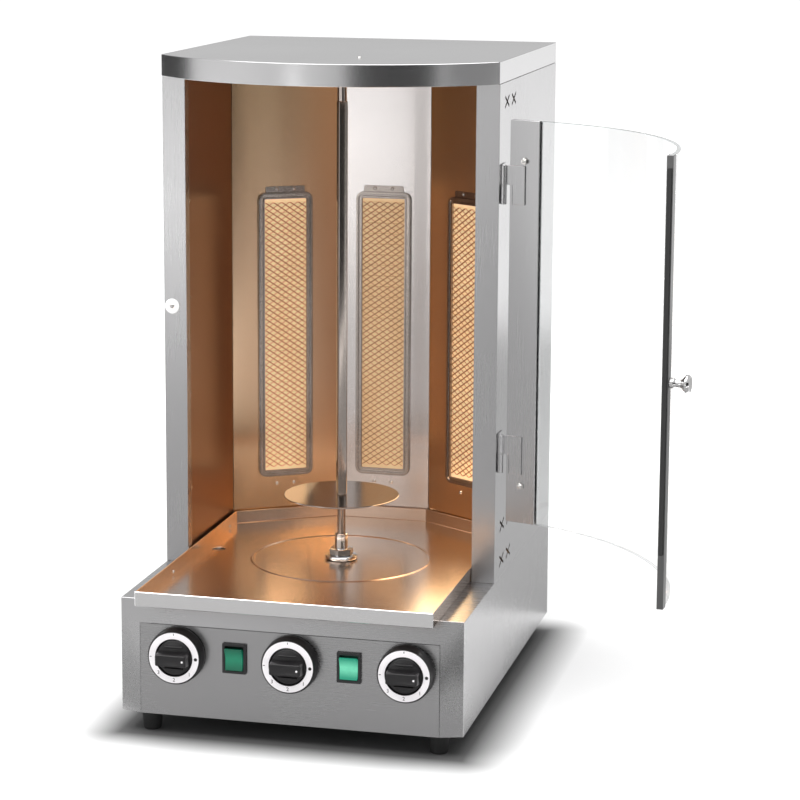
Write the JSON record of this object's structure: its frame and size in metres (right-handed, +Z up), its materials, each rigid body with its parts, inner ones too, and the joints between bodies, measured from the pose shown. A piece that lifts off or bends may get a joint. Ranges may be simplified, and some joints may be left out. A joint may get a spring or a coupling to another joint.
{
  "type": "rotisserie oven",
  "caption": "Upright rotisserie oven with a driven vertical spit, infrared heater bays, a curved glass door, a drip tray and a control base.",
  "frame": {"origin": "centre of the base floor's underside, between the four feet, which reach 22 mm below it", "axes": "+X to the right as the cook faces the controls, +Y to the back, +Z up"},
  "size_m": [0.5959, 0.6177, 0.686],
  "materials": {
    "stainless": "brushed stainless sheet, vertical grain",
    "stainless_liner": "bright stainless liner, heat-tinted warm",
    "polished_steel": "polished stainless",
    "zinc_steel": "zinc-plated sheet and castings",
    "ceramic": "fired ceramic, matt",
    "guard_wire": "expanded metal, heat-browned",
    "black_plastic": "moulded phenolic, satin",
    "dial_white": "pale printed ring",
    "rocker_green": "translucent green, lit",
    "rubber_black": "moulded rubber",
    "door_glass": "clear tempered glass, curved"
  },
  "bodies": {
    "cabinet": {"base_floor": "zinc_steel", "base_rear_panel": "stainless", "base_shell": "stainless", "cable_gland": "black_plastic", "ceiling_plate": "stainless_liner", "control_panel": "stainless", "dial_ring_1": "dial_white", "dial_ring_2": "dial_white", "dial_ring_3": "dial_white", "door_catch": "dial_white", "drip_tray": "stainless", "foot_front_left": "rubber_black", "foot_front_right": "rubber_black", "foot_rear_left": "rubber_black", "foot_rear_right": "rubber_black", "gear_motor": "zinc_steel", "gearbox": "zinc_steel", "heater_frame_centre": "polished_steel", "heater_frame_left": "polished_steel", "heater_frame_right": "polished_steel", "heater_guard_centre": "guard_wire", "heater_guard_left": "guard_wire", "heater_guard_right": "guard_wire", "heater_plate_centre": "ceramic", "heater_plate_left": "ceramic", "heater_plate_right": "ceramic", "hinge_leaf_lower": "stainless", "hinge_leaf_upper": "stainless", "left_liner": "stainless_liner", "left_side_panel": "stainless", "rear_cover": "stainless", "reflector_centre": "stainless_liner", "reflector_left": "stainless_liner", "reflector_right": "stainless_liner", "right_liner": "stainless_liner", "right_side_panel": "stainless", "rocker_housing_1": "black_plastic", "rocker_housing_2": "black_plastic", "selector_switch_1": "black_plastic", "selector_switch_2": "black_plastic", "selector_switch_3": "black_plastic", "top_bearing": "polished_steel", "top_cover": "stainless"},
    "door": {"door_glass": "door_glass", "door_clamp_outer": "stainless", "door_clamp_inner": "stainless", "door_edge_profile": "polished_steel", "door_seal": "rubber_black", "door_knob": "polished_steel", "door_hinge_lower": "stainless", "door_hinge_upper": "stainless"},
    "drive": {"drive_socket": "polished_steel"},
    "spit": {"spit_rod": "polished_steel", "meat_plate": "polished_steel"},
    "knob_1": {"knob_1": "black_plastic"},
    "knob_2": {"knob_2": "black_plastic"},
    "knob_3": {"knob_3": "black_plastic"},
    "rocker_1": {"rocker_1": "rocker_green"},
    "rocker_2": {"rocker_2": "rocker_green"}
  },
  "joints": [
    {"name": "door_swing", "type": "hinge", "parent": "cabinet", "child": "door", "pos_m": [0.184, -0.076, 0.396], "axis": [0, 0, 1], "range_deg": [-124, 39]},
    {"name": "spit_spin", "type": "hinge", "parent": "cabinet", "child": "drive", "pos_m": [0, -0.025, 0.12], "axis": [0, 0, 1], "continuous": true},
    {"name": "spit_lift", "type": "slide", "parent": "drive", "child": "spit", "axis": [0, 0, 1], "range_m": [0, 0.018]},
    {"name": "knob_1_turn", "type": "hinge", "parent": "cabinet", "child": "knob_1", "pos_m": [-0.116, -0.254, 0.066], "axis": [0, 1, 0], "range_deg": [0, 135]},
    {"name": "knob_2_turn", "type": "hinge", "parent": "cabinet", "child": "knob_2", "pos_m": [0.004, -0.254, 0.066], "axis": [0, 1, 0], "range_deg": [0, 135]},
    {"name": "knob_3_turn", "type": "hinge", "parent": "cabinet", "child": "knob_3", "pos_m": [0.124, -0.254, 0.066], "axis": [0, 1, 0], "range_deg": [0, 135]},
    {"name": "rocker_1_press", "type": "hinge", "parent": "cabinet", "child": "rocker_1", "pos_m": [-0.056, -0.235, 0.066], "axis": [1, 0, 0], "range_deg": [-16, 0]},
    {"name": "rocker_2_press", "type": "hinge", "parent": "cabinet", "child": "rocker_2", "pos_m": [0.064, -0.235, 0.066], "axis": [1, 0, 0], "range_deg": [-16, 0]}
  ]
}
